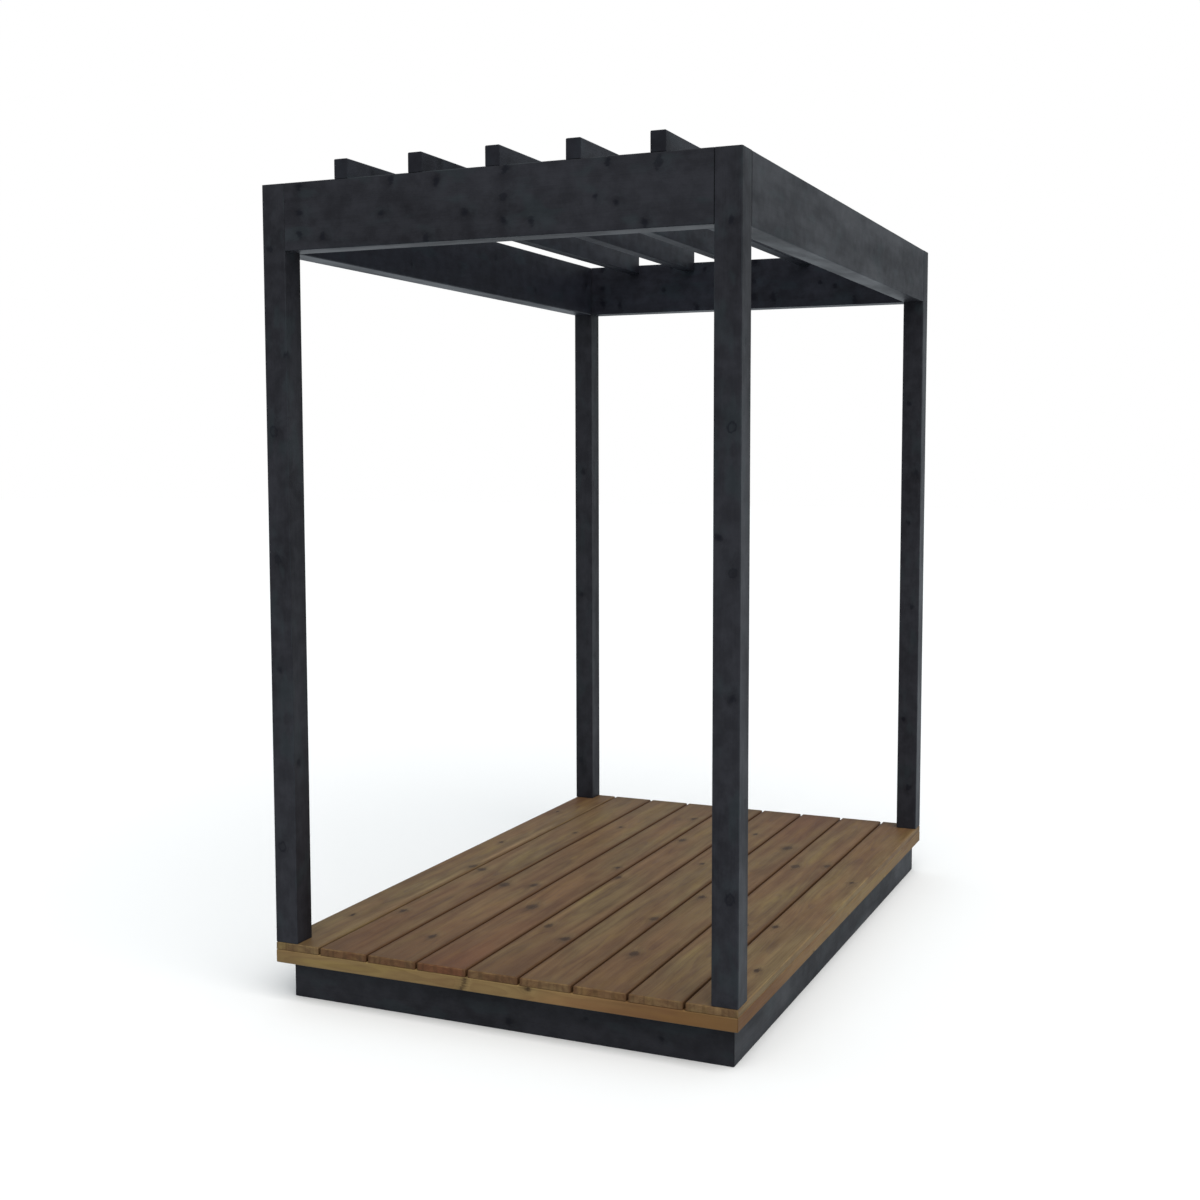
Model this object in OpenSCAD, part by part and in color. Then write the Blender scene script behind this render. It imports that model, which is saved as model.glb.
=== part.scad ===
// Wooden pergola. Four posts, four beams and five rafters make an open frame that stands on a
// boarded deck. The deck has a rim frame with joists, on a recessed plinth.
// The origin is at ground level in the middle of the deck. +X is right, +Y is back, +Z is up.

/* [Deck boards] */
// Width of the deck
deck_w = 1345; // [1250:5:1700]
// Number of boards side by side across the deck
board_count = 9; // [8:1:10]
// Width of one board, apart from the first and last, which are cut to fit
board_w = 145; // [120:1:165]
// Thickness of one board
board_t = 21; // [18:1:34]
// Open gap between two boards
board_gap = 7; // [3:0.5:12]
// Length of the boards, which is the depth of the deck
deck_depth = 2010; // [1500:10:4000]
// Radius of the rounded top edges of each board
board_round = 4; // [1:0.5:8]

/* [Rim frame] */
// Height of the rim timbers under the boards
rim_h = 37; // [30:1:95]
// Thickness of the rim timbers
rim_t = 42; // [20:1:48]
// Number of joists that cross the frame between the side rims
joist_count = 3; // [1:1:6]
// Thickness of one joist
joist_t = 42; // [20:1:60]

/* [Plinth] */
// Height of the plinth boards from the ground to the rim
plinth_h = 108; // [60:1:300]
// Thickness of the plinth boards
plinth_t = 42; // [20:1:60]
// Distance that the plinth sits back from the rim at the front
plinth_inset_front = 49; // [0:1:120]
// Distance that the plinth sits in from the rim at the back
plinth_inset_back = 3; // [0:1:120]
// Distance that the plinth sits in from the rim at the left and the right
plinth_inset_side = 26; // [0:1:120]

/* [Posts and beams] */
// Side of the square posts
post_size = 70; // [60:1:120]
// Height of the posts above the deck
post_h = 2050; // [1900:10:2600]
// Height of the beams
beam_h = 177; // [90:1:250]
// Thickness of the beams
beam_t = 70; // [40:1:70]

/* [Rafters] */
// Number of rafters
rafter_count = 5; // [3:1:5]
// Thickness of one rafter
rafter_t = 41; // [28:1:60]
// Height that the rafters stand above the beams
rafter_rise = 50; // [20:1:90]
// Depth that the rafters reach below the top of the beams
rafter_drop = 32; // [15:1:80]
// Distance from the left face of the frame to the first rafter
rafter_first = 228; // [80:1:300]
// Distance from one rafter to the next
rafter_pitch = 221.5; // [100:0.5:225]

/* [Hidden] */
half_w = deck_w / 2;
half_d = deck_depth / 2;

// Width of the first and last boards, which take up what the full boards and the gaps leave
edge_board_w = (deck_w - (board_count - 2) * board_w - (board_count - 1) * board_gap) / 2;

rim_z = plinth_h;
board_z = rim_z + rim_h;
deck_z = board_z + board_t;
beam_top = deck_z + post_h;
beam_z = beam_top - beam_h;

// Centres of the posts, and the clear spans between them
post_x = half_w - post_size / 2;
post_y = half_d - post_size / 2;
span_x = deck_w - 2 * post_size;
span_y = deck_depth - 2 * post_size;

ink = "#2d3134";
oak = "#6d5c46";
straw = "#746246";

// One timber of a mitred frame, which lies along X with its outer face towards -Y.
module mitred_timber(len, thick, high) {
    linear_extrude(high)
        polygon([
            [-len / 2, 0],
            [len / 2, 0],
            [len / 2 - thick, thick],
            [-len / 2 + thick, thick]
        ]);
}

// Side 0 is the front, 1 the right, 2 the back and 3 the left of a mitred frame.
module frame_side(side, wide, deep, thick, high) {
    across = side % 2 == 0;
    rotate([0, 0, 90 * side])
        translate([0, -(across ? deep : wide) / 2, 0])
            mitred_timber(across ? wide : deep, thick, high);
}

module plinth(side) {
    wide = deck_w - 2 * plinth_inset_side;
    deep = deck_depth - plinth_inset_front - plinth_inset_back;
    color(ink)
        translate([0, (plinth_inset_front - plinth_inset_back) / 2, 0])
            frame_side(side, wide, deep, plinth_t, plinth_h);
}

module rim(side) {
    color(straw)
        translate([0, 0, rim_z])
            frame_side(side, deck_w, deck_depth, rim_t, rim_h);
}

// The joists share the depth between the front and back rims evenly.
module joist(i) {
    bay = (deck_depth - 2 * rim_t) / (joist_count + 1);
    color(straw)
        translate([rim_t - half_w, rim_t - half_d + i * bay - joist_t / 2, rim_z])
            cube([deck_w - 2 * rim_t, joist_t, rim_h]);
}

// Cross-section of a board, with its two top edges rounded.
module board_section(wide) {
    square([wide, board_t - board_round]);
    translate([board_round, 0])
        square([wide - 2 * board_round, board_t]);
    for (x = [board_round, wide - board_round])
        translate([x, board_t - board_round])
            circle(board_round, $fn = 32);
}

module deck_board(i) {
    at_edge = i == 1 || i == board_count;
    left = i == 1 ? 0 : edge_board_w + board_gap + (i - 2) * (board_w + board_gap);
    color(oak)
        translate([left - half_w, half_d, board_z])
            rotate([90, 0, 0])
                linear_extrude(deck_depth)
                    board_section(at_edge ? edge_board_w : board_w);
}

module post(side_x, side_y) {
    color(ink)
        translate([side_x * post_x - post_size / 2, side_y * post_y - post_size / 2, deck_z])
            cube([post_size, post_size, post_h]);
}

// Beams between the posts, with their outer faces level with the posts' outer faces.
module cross_beam(y) {
    color(ink)
        translate([-span_x / 2, y, beam_z])
            cube([span_x, beam_t, beam_h]);
}

module side_beam(x) {
    color(ink)
        translate([x, -span_y / 2, beam_z])
            cube([beam_t, span_y, beam_h]);
}

// A rafter laps over the front beam to its outer face, and butts the inner face of the back beam.
module rafter(i) {
    front = -half_d;
    front_inner = beam_t - half_d;
    back = half_d - beam_t;
    color(ink)
        translate([rafter_first + (i - 1) * rafter_pitch - half_w, 0, beam_top])
            rotate([90, 0, 90])
                linear_extrude(rafter_t)
                    polygon([
                        [front, 0],
                        [front_inner, 0],
                        [front_inner, -rafter_drop],
                        [back, -rafter_drop],
                        [back, rafter_rise],
                        [front, rafter_rise]
                    ]);
}

plinth(0);  // plinth_front
plinth(1);  // plinth_right
plinth(2);  // plinth_back
plinth(3);  // plinth_left

rim(0);  // rim_front
rim(1);  // rim_right
rim(2);  // rim_back
rim(3);  // rim_left

for (i = [1 : joist_count])
    joist(i);

for (i = [1 : board_count])
    deck_board(i);

post(-1, -1);  // post_front_left
post(1, -1);  // post_front_right
post(-1, 1);  // post_back_left
post(1, 1);  // post_back_right

cross_beam(-half_d);  // beam_front
cross_beam(half_d - beam_t);  // beam_back
side_beam(-half_w);  // beam_left
side_beam(half_w - beam_t);  // beam_right

for (i = [1 : rafter_count])
    rafter(i);
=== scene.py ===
"""Garden pergola: every timber and its finish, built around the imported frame, with a plain stage."""

import math
import random

import bpy
from mathutils import Euler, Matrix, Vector
import numpy as np


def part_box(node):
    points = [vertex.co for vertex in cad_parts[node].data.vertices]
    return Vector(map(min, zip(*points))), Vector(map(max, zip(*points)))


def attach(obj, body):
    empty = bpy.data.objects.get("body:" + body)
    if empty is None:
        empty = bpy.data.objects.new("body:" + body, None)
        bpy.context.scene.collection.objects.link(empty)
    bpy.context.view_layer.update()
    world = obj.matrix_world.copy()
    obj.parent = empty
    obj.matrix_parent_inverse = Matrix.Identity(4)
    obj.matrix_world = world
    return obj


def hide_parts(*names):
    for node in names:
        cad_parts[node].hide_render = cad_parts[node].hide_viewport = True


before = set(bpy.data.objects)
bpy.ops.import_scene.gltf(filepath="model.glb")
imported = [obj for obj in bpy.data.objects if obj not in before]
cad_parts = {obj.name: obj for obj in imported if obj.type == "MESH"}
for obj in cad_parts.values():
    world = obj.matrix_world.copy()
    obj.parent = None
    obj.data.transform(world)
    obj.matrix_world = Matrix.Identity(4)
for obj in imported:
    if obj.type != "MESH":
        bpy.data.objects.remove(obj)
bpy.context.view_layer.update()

bl_info = {
    "name": "Timber Pergola",
    "version": (1, 0, 0),
    "blender": (4, 5, 0),
    "location": "View3D > Sidebar > Pergola",
    "description": "Builds the eased, grained timbers of a garden pergola and a plain stage",
    "category": "Object",
}

BODY = "root"
MM = 0.001
SIDES = ("front", "right", "back", "left")

# A timber is made lying along its own X, with Z up, and is then turned to lie in the frame.
LIES_ALONG_X = (0.0, 0.0, 0.0)
LIES_ALONG_Y = (0.0, 0.0, math.pi / 2)
STANDS_UP = (0.0, -math.pi / 2, 0.0)

# Each deck board from left to right: how light it is, how red it is at its front and at its
# back, the knots on its top (distance from the front end, distance from the left edge, radius),
# and its streaks (distance from the left edge, width, start and end along the board, and how
# pale it is, or how dark where that is below zero). All distances are in millimetres.
DECK_BOARDS = {
    1: (1.04, -0.3, 0.4, [(289, 57, 7), (890, 122, 10), (1203, 60, 7), (1690, 40, 6)],
        [(120, 18, 950, 1550, 1.0), (121, 16, 250, 1150, 0.35), (20, 30, 500, 1600, -0.1)]),
    2: (1.03, 0.7, 0.1, [(381, 28, 8), (867, 24, 9), (1420, 96, 6)],
        [(76, 190, -400, 450, -0.22), (132, 12, 500, 2300, -0.2), (60, 40, 600, 1200, 0.12)]),
    3: (1.01, 0.6, 0.1, [(207, 78, 9), (770, 108, 9), (739, 20, 11), (1560, 60, 6)],
        [(76, 190, -400, 420, -0.22), (40, 30, 1400, 2000, 0.15)]),
    4: (1.01, 1.3, 0.4, [(564, 55, 14), (1060, 118, 7), (1781, 109, 8)],
        [(110, 50, 200, 1000, -0.12), (76, 190, -400, 300, -0.12)]),
    5: (0.98, 0.3, 0.5, [(417, 30, 10), (331, 124, 9), (953, 10, 9), (1470, 30, 11)],
        [(22, 14, 400, 1400, 0.35), (104, 16, 200, 1600, -0.22), (90, 120, -400, 400, -0.25)]),
    6: (0.97, 0.1, 0.6, [(596, 132, 10), (1210, 50, 6), (1650, 86, 7)],
        [(90, 70, -300, 450, 0.10), (60, 30, 500, 900, 0.12)]),
    7: (0.95, 0.3, 1.2, [(289, 46, 10), (853, 28, 9), (1510, 96, 13)],
        [(30, 20, 300, 900, -0.12)]),
    8: (1.01, 0.0, 0.6, [(640, 90, 7), (1296, 37, 11), (1339, 132, 9)],
        [(40, 50, 100, 700, 0.14)]),
    9: (1.04, -0.2, 0.5, [(289, 88, 8), (660, 20, 8), (1180, 104, 6)],
        [(86, 12, -200, 700, 0.4), (138, 12, -300, 2400, 0.25), (60, 16, 200, 1300, -0.15)]),
}
# How much painted shade darkens the boards' sides in each gap, from left to right. The zeros are the
# open edges.
PAINTED_GAP_SHADES = (0.0, 0.3, 1.0, 1.0, 1.0, 0.95, 0.9, 0.8, 0.8, 0.0)
# What the colour of the palest streak is multiplied by.
SAPWOOD = (1.80, 1.92, 1.95)

# Knots on the outer face of the front beam: distance from the left end, height above the
# beam's underside, and radius, in millimetres.
FRONT_BEAM_KNOTS = [
    (48, 165, 6), (48, 97, 7), (48, 41, 7), (120, 32, 6), (330, 165, 6), (298, 81, 6),
    (462, 151, 6), (541, 69, 7), (430, 10, 6), (657, 167, 7), (651, 99, 8), (651, 41, 7),
    (727, 34, 7), (901, 83, 6), (935, 165, 6), (1065, 153, 8), (957, 67, 6), (1030, 13, 6),
]
# Knots on the outer face of the front rim, given in the same way. The first six are one long
# knot that leans across the timber, and the last two are one that lies along its top.
FRONT_RIM_KNOTS = [
    (580, 2, 4), (583, 8, 4), (585, 14, 4), (588, 21, 4), (590, 28, 4), (593, 35, 4),
    (772, 32, 4), (779, 33, 5),
]
# Darker and paler zones along two of the rim's timbers, given like a board's streaks.
RIM_STREAKS = {
    "front": [(0, 400, -400, 500, -0.06), (0, 400, 860, 1900, -0.42)],
    "right": [(0, 400, -400, 480, -0.26), (0, 400, 500, 1300, 0.10), (0, 400, 1300, 2600, -0.14)],
}
# Heights of the knots up each right-hand post, in millimetres, the side that each one faces in
# degrees round from the front towards the right, and the radius in millimetres. The left-hand
# posts are turned by LEFT_POST_TURN degrees.
FRONT_POST_KNOTS = [
    (269, 20, 11), (500, 100, 7), (756, 24, 7), (1056, 26, 9), (1140, -30, 6), (1400, 18, 11),
    (1600, 80, 7), (1880, 14, 7), (900, 170, 8), (1330, 250, 9),
]
BACK_POST_KNOTS = [
    (150, 12, 8), (397, -22, 6), (560, 96, 7), (800, 18, 7), (1100, -8, 6), (1275, 30, 8),
    (1519, -16, 6), (700, 180, 8), (1430, 200, 9), (1250, 280, 8),
]
LEFT_POST_TURN = -34
# A darker edge up the back of each post, given like a board's streaks.
POST_STREAKS = [(5, 44, -900, 9000, -0.28)]


def length_setting(name, description, default, low, high):
    """A setting for a length, given here in millimetres."""
    return bpy.props.FloatProperty(
        name=name,
        description=description,
        default=default * MM,
        min=low * MM,
        max=high * MM,
        unit="LENGTH",
    )


def colour_setting(name, description, default):
    """A setting for a colour."""
    return bpy.props.FloatVectorProperty(
        name=name,
        description=description,
        default=default,
        size=3,
        subtype="COLOR",
    )


class TimberSettings(bpy.types.PropertyGroup):
    board_arris: length_setting(
        "Board edge radius",
        "Radius of the rounded top edges of the deck boards",
        4, 1, 8,
    )
    frame_arris: length_setting(
        "Frame edge radius",
        "Radius of the eased edges of posts, beams, rafters, rim and plinth",
        3, 0.5, 5,
    )
    sawn_arris: length_setting(
        "Sawn edge radius",
        "Radius of the edges round the sawn ends and of the boards' bottom edges",
        1, 0.3, 3,
    )
    unevenness: length_setting(
        "Unevenness",
        "How far the planed faces wander inwards from dead flat",
        0.35, 0, 1,
    )
    cell: length_setting(
        "Cell size",
        "Length of one mesh cell along a timber",
        20, 10, 100,
    )
    cell_across: length_setting(
        "Cell width",
        "Width of one mesh cell across a timber",
        8, 4, 50,
    )
    ring_spacing: length_setting(
        "Ring spacing",
        "Distance between two growth rings",
        3.6, 1, 8,
    )


class FinishSettings(bpy.types.PropertyGroup):
    stain_dark: colour_setting(
        "Stain, dark",
        "Colour of the black stain where the wood took most of it",
        (0.0086, 0.0080, 0.0108),
    )
    stain_light: colour_setting(
        "Stain, light",
        "Colour of the black stain where the wood took least of it",
        (0.0290, 0.0290, 0.0350),
    )
    # The bloom colour also paints the highlights on the eased edges, as well as their wear.
    stain_bloom: colour_setting(
        "Stain, bloom",
        "Colour of the faint green patches in the black timbers and of their worn edges",
        (0.0240, 0.0350, 0.0380),
    )
    board_early: colour_setting(
        "Board, early wood",
        "Colour of the soft, light part of each growth ring in the deck boards",
        (0.180, 0.123, 0.055),
    )
    board_late: colour_setting(
        "Board, late wood",
        "Colour of the hard, dark part of each growth ring in the deck boards",
        (0.096, 0.056, 0.027),
    )
    rim_early: colour_setting(
        "Rim, early wood",
        "Colour of the light part of each growth ring in the rim and joists",
        (0.263, 0.183, 0.076),
    )
    rim_late: colour_setting(
        "Rim, late wood",
        "Colour of the dark part of each growth ring in the rim and joists",
        (0.185, 0.118, 0.050),
    )
    knot: colour_setting(
        "Knot",
        "Colour of the knots in the brown timbers",
        (0.028, 0.0135, 0.0075),
    )
    # The gap colour is painted shade: the boards are darkened towards the gaps between them, where
    # little light reaches.
    gap: colour_setting(
        "Gap",
        "Colour of the deck boards where they face each other",
        (0.086, 0.040, 0.0175),
    )


class StageSettings(bpy.types.PropertyGroup):
    floor_colour: colour_setting(
        "Floor",
        "Colour of the pale floor",
        (0.97, 0.97, 0.97),
    )
    floor_bounce: colour_setting(
        "Floor bounce",
        "Colour of the light that the floor throws back on the timbers",
        (0.61, 0.65, 0.69),
    )
    sky_colour: colour_setting(
        "Sky",
        "Colour of the light that comes evenly from all round",
        (0.88, 0.95, 1.0),
    )
    sky_strength: bpy.props.FloatProperty(
        name="Sky strength",
        description="Brightness of the light that comes evenly from all round",
        default=0.6,
        min=0.0,
        max=5.0,
    )
    sun_strength: bpy.props.FloatProperty(
        name="Sun strength",
        description="Brightness of the broad soft light above the front right corner",
        default=2.2,
        min=0.0,
        max=10.0,
    )
    lens: bpy.props.FloatProperty(
        name="Lens",
        description="Focal length of the camera, in millimetres",
        default=45.46,
        min=10.0,
        max=200.0,
        unit="CAMERA",
    )


class Wiring:
    """Adds nodes to one tree and joins them as they are made."""

    def __init__(self, tree):
        self.tree = tree

    def feed(self, socket, value):
        if isinstance(value, bpy.types.NodeSocket):
            self.tree.links.new(value, socket)
        elif value is not None:
            socket.default_value = value

    def add(self, kind, inputs=(), **settings):
        node = self.tree.nodes.new(kind)
        for name, value in settings.items():
            setattr(node, name, value)
        pairs = inputs.items() if isinstance(inputs, dict) else enumerate(inputs)
        for key, value in pairs:
            self.feed(node.inputs[key], value)
        return node

    def math(self, operation, *values, clamp=False):
        return self.add("ShaderNodeMath", values, operation=operation, use_clamp=clamp).outputs[0]

    def times(self, first, second):
        return self.math("MULTIPLY", first, second)

    def vector(self, operation, *values):
        node = self.add("ShaderNodeVectorMath", values, operation=operation)
        return node.outputs["Value" if operation == "LENGTH" else "Vector"]

    def scale(self, vector, factor):
        inputs = {"Vector": vector, "Scale": factor}
        return self.add("ShaderNodeVectorMath", inputs, operation="SCALE").outputs["Vector"]

    def combine(self, x, y, z):
        return self.add("ShaderNodeCombineXYZ", (x, y, z)).outputs[0]

    def split(self, vector):
        return self.add("ShaderNodeSeparateXYZ", (vector,)).outputs

    def ramp(self, value, low, high):
        """A smooth step from 0 to 1 as value goes from low to high, which may be the lower one."""
        values = (value, low, high)
        return self.add("ShaderNodeMapRange", values, interpolation_type="SMOOTHSTEP").outputs[0]

    def bell(self, value):
        """A bell curve: 1 where value is 0, and near 0 past 2."""
        return self.math("EXPONENT", self.times(self.times(value, value), -1.0))

    def weigh(self, start, *parts):
        """Adds weighted values to a starting number. Each part is (value, its middle, weight)."""
        total = start - sum(middle * weight for value, middle, weight in parts)
        for value, middle, weight in parts[:-1]:
            total = self.math("MULTIPLY_ADD", value, weight, total)
        value, middle, weight = parts[-1]
        return self.math("MULTIPLY_ADD", value, weight, total, clamp=True)

    def blend(self, factor, first, second, mode="MIX"):
        """The mix of two colours."""
        node = self.add("ShaderNodeMix", {"Factor": factor}, data_type="RGBA", blend_type=mode)
        sockets = [s for s in node.inputs if s.type == "RGBA"]
        for socket, value in zip(sockets, (first, second)):
            linked = isinstance(value, bpy.types.NodeSocket)
            self.feed(socket, value if linked else (*value, 1.0))
        return next(s for s in node.outputs if s.type == "RGBA")

    def multiply(self, first, second):
        """One colour times another."""
        return self.blend(1.0, first, second, "MULTIPLY")

    def coat(self, colour, mask, strength, over):
        """The colour with another laid over it, as strongly as the mask and the strength say."""
        return self.blend(self.times(mask, strength), colour, over)

    def noise(self, vector, detail, roughness=0.55):
        inputs = {"Vector": vector, "Scale": 1.0, "Detail": detail, "Roughness": roughness}
        return self.add("ShaderNodeTexNoise", inputs).outputs[0]

    def waves(self, vector, per_metre, detail, roughness=0.55):
        """Noise with so many waves per metre along, across and up."""
        return self.noise(self.vector("MULTIPLY", vector, per_metre), detail, roughness)

    def attribute(self, name):
        return self.add("ShaderNodeAttribute", attribute_name=name).outputs

    def store(self, mesh, name, value, data_type="FLOAT", domain="POINT"):
        """The mesh with a named attribute, in a geometry tree."""
        inputs = {"Geometry": mesh, "Name": name, "Value": value}
        kind = "GeometryNodeStoreNamedAttribute"
        return self.add(kind, inputs, data_type=data_type, domain=domain).outputs[0]


def new_group(name, kind, takes, gives):
    """An empty node group with named inputs and outputs, and what is needed to fill it."""
    tree = bpy.data.node_groups.new(name, kind)
    for label, socket_type, default in takes:
        socket = tree.interface.new_socket(label, in_out="INPUT", socket_type=socket_type)
        if default is not None:
            socket.default_value = default
    for label, socket_type in gives:
        tree.interface.new_socket(label, in_out="OUTPUT", socket_type=socket_type)
    start = tree.nodes.new("NodeGroupInput").outputs
    end = tree.nodes.new("NodeGroupOutput").inputs
    return tree, Wiring(tree), start, end


# Mesh cells that make each rounded edge, with one flat cell beside it that keeps the flat flat.
EDGE_CELLS = 4
EDGE_ZONE = EDGE_CELLS / (EDGE_CELLS - 1)

# How the faces wander: waves per metre, and how much more the rounded edges wander than the flats.
FACE_WAVES = (5.0, 22.0, 22.0)
EDGE_WANDER = 1.6

# The largest part of the outward direction where an arris starts to round, and where it is fully
# round.
ARRIS = (0.98, 0.78)
# How far from the gap on its left and on its right a board is darkened with painted shade, in edge
# radii.
GAP_REACH = (3.1, 2.5)
# How nearly along X a face of a sawn end points, and the angle past which an edge stays sharp,
# in radians.
SAWN_FACING = 0.85
SHARP_ANGLE = 0.7

# How far the redness of a timber's end reaches along it, and how far a streak takes to fade in,
# in metres.
RED_REACH = 0.45
STREAK_FADE = 0.22

# A tone is how light a timber is, in all or for red, green and blue, how red it is at -X and at
# +X, and what redness does to red, green and blue.
BOARD_RED = (0.94, 0.74, 0.76)
RIM_RED = (0.86, 0.68, 0.62)
PLAIN = (1.0, 0.0, 0.0, BOARD_RED)
# The rafters, and the beams at the left and the back, are darker and bluer than the posts. This is
# painted shade, tinted blue like the sky light on their shaded inner faces.
SHADED_BLUER = ((0.81, 0.86, 0.97), 0.0, 0.0, BOARD_RED)
# The plinth is painted darker than the timbers above it: painted shade, for the shade under the deck's
# overhang near the floor.
PLINTH_PAINTED_SHADE = (0.84, 0.0, 0.0, BOARD_RED)

# How far a branch, and so its knot, leans along the trunk for each metre outwards.
KNOT_LEAN = 0.2
# The radii, in metres, between which a knot goes from faint to dark, and those between which it
# goes from dark all through to dark mostly in its ring of bark.
FAINT_TO_DARK = (0.002, 0.006)
DEAD_TO_LIVE = (0.0065, 0.0105)
# The distances from the pith, in metres, between which a branch comes into sight.
PITH_TO_BRANCH = (0.0, 0.004)
# Round a knot, in its radii: where its core fades in, where its bark lies, how far it bends the
# grain, how far ahead the lighter wood lies and how wide it is, and how far dark resin runs along
# the grain. The resin is narrower than the knot by the last factor.
CORE_EDGE = (1.30, 0.35)
BARK_AT = 0.95
BEND_REACH = 2.1
HALO_AHEAD = 2.8
HALO_REACH = 2.6
RESIN_REACH = 5.5
RESIN_NARROWING = 1.7

# What the group for one knot puts out, and what the wood between the knots adds to it.
KNOT_PARTS = ("Core", "Bark", "Bend", "Halo", "Resin")
WOOD_PARTS = ("Late Wood", "Fibre", "Streak", "Cloud", "Patch", "Drift", "Check")

# Waves per metre of each pattern in the wood, along the trunk and both ways across it.
FLAW_WAVES = (70.0, 150.0, 150.0)
PITH_WAVES = (1.1, 4.0, 4.0)
RIPPLE_WAVES = (7.0, 26.0, 26.0)
FIBRE_WAVES = (7.0, 420.0, 420.0)
DRIFT_WAVES = (2.2, 10.0, 10.0)
CHECK_WAVES = (0.0, 95.0, 12.0)
WEAR_WAVES = (8.0, 30.0, 30.0)
# Streaks keep to their own rings: waves per metre along the trunk, outwards and across.
STREAK_WAVES = (1.6, 70.0, 22.0)
# The patches have these shares of the clouds' waves, and start elsewhere.
PATCH_SHARES = (0.38, 0.75, 0.75)
PATCH_START = (7.7, 3.1, 5.3)
# How far the pith wanders and ripples, and how far a knot pushes it and the fibres, in metres.
PITH_WANDER = 0.050
PITH_RIPPLE = 0.0035
PITH_PUSH = 0.012
FIBRE_PUSH = 0.006
# How unevenly the rings are spaced, in rings, and in how many waves per metre outwards.
RING_DRIFT = 2.2
RING_DRIFT_WAVES = 60.0


def eased_timber_tree():
    """Geometry nodes for one timber: a cuboid with round edges, wandering faces, mitres and a notch."""
    takes = [
        ("Size", "NodeSocketVector", (1.0, 0.1, 0.05)),
        ("Cells Along", "NodeSocketInt", 40),
        ("Cells Across", "NodeSocketInt", 10),
        ("Cells Up", "NodeSocketInt", 10),
        ("Edge Radius", "NodeSocketFloat", 0.003),
        ("Lower Radius", "NodeSocketFloat", 0.003),
        ("End Radius", "NodeSocketFloat", 0.001),
        ("Unevenness", "NodeSocketFloat", 0.0003),
        ("Mitre", "NodeSocketFloat", 0.0),
        ("Left Gap", "NodeSocketFloat", 0.0),
        ("Right Gap", "NodeSocketFloat", 0.0),
        ("Has Notch", "NodeSocketBool", False),
        ("Notch Size", "NodeSocketVector", (0.07, 0.1, 0.03)),
        ("Seed", "NodeSocketFloat", 0.0),
        ("Pith", "NodeSocketVector", (0.0, 0.0, 0.0)),
        ("Turn", "NodeSocketRotation", None),
        ("Centre", "NodeSocketVector", (0.0, 0.0, 0.0)),
        ("Finish", "NodeSocketMaterial", None),
    ]
    gives = [("Geometry", "NodeSocketGeometry")]
    tree, w, start, end = new_group("eased_timber", "GeometryNodeTree", takes, gives)
    size = start["Size"]
    half = w.scale(size, 0.5)
    cells = [start["Cells Along"], start["Cells Across"], start["Cells Up"]]
    points = [w.math("ADD", c, 1.0) for c in cells]

    cube = w.add("GeometryNodeMeshCube", ((2.0, 2.0, 2.0), *points)).outputs["Mesh"]
    position = w.add("GeometryNodeInputPosition").outputs[0]

    # The lower edges have a radius of their own, and so have the edges round the ends.
    rise = w.ramp(w.split(position)[2], -0.5, 0.5)
    difference = w.math("SUBTRACT", start["Edge Radius"], start["Lower Radius"])
    radius = w.math("MULTIPLY_ADD", rise, difference, start["Lower Radius"])
    radii = w.combine(start["End Radius"], radius, radius)

    # Even cells are moved so that the outer ones fall in the rounded edge.
    spread = []
    axes = zip(w.split(position), w.split(half), w.split(radii), cells)
    for even, half_size, round_size, count in axes:
        inner = w.math("SUBTRACT", 1.0, w.math("DIVIDE", 2.0 * EDGE_CELLS, count))
        away = w.math("ABSOLUTE", even)
        flat_part = w.math("MINIMUM", w.math("DIVIDE", away, inner), 1.0)
        past_inner = w.math("SUBTRACT", away, inner)
        edge_part = w.math("DIVIDE", past_inner, w.math("SUBTRACT", 1.0, inner))
        edge_part = w.math("MAXIMUM", edge_part, 0.0)
        zone = w.times(round_size, EDGE_ZONE)
        along = w.times(flat_part, w.math("SUBTRACT", half_size, zone))
        along = w.math("MULTIPLY_ADD", edge_part, zone, along)
        spread.append(w.times(along, w.math("SIGN", even)))
    spread = w.combine(*spread)

    # The nearest point of the core, and the direction out of it, give the rounding.
    core_size = w.vector("SUBTRACT", half, radii)
    core = w.vector("MINIMUM", spread, core_size)
    core = w.vector("MAXIMUM", core, w.scale(core_size, -1.0))
    outwards = w.vector("DIVIDE", w.vector("SUBTRACT", spread, core), radii)
    outwards = w.vector("NORMALIZE", outwards)
    x, y, z = w.split(w.vector("ABSOLUTE", outwards))
    arris = w.ramp(w.math("MAXIMUM", w.math("MAXIMUM", x, y), z), *ARRIS)

    # The faces wander inwards only, and the edges are knocked about a little more.
    place = w.vector("MULTIPLY", spread, FACE_WAVES)
    place = w.vector("ADD", place, w.combine(start["Seed"], start["Seed"], 0.0))
    wander = w.noise(place, 1.0)
    wander = w.times(wander, w.math("MULTIPLY_ADD", arris, EDGE_WANDER, 1.0))
    wander = w.times(wander, start["Unevenness"])
    shaped = w.vector("ADD", core, w.vector("MULTIPLY", outwards, radii))
    shaped = w.vector("SUBTRACT", shaped, w.scale(outwards, wander))

    # A mitre shortens the timber towards its inner side, which is +Y.
    x, y, z = w.split(shaped)
    half_x, half_y, half_z = w.split(half)
    inward = w.math("DIVIDE", w.math("ADD", y, half_y), w.times(half_y, 2.0))
    shortened = w.times(w.math("DIVIDE", start["Mitre"], half_x), inward)
    x = w.times(x, w.math("SUBTRACT", 1.0, shortened))
    shaped = w.combine(x, y, z)

    # The arris is stored first, because it reads the even cube's places.
    mesh = w.store(cube, "arris", arris)
    mesh = w.add("GeometryNodeSetPosition", {"Geometry": mesh, "Position": shaped}).outputs[0]
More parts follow.
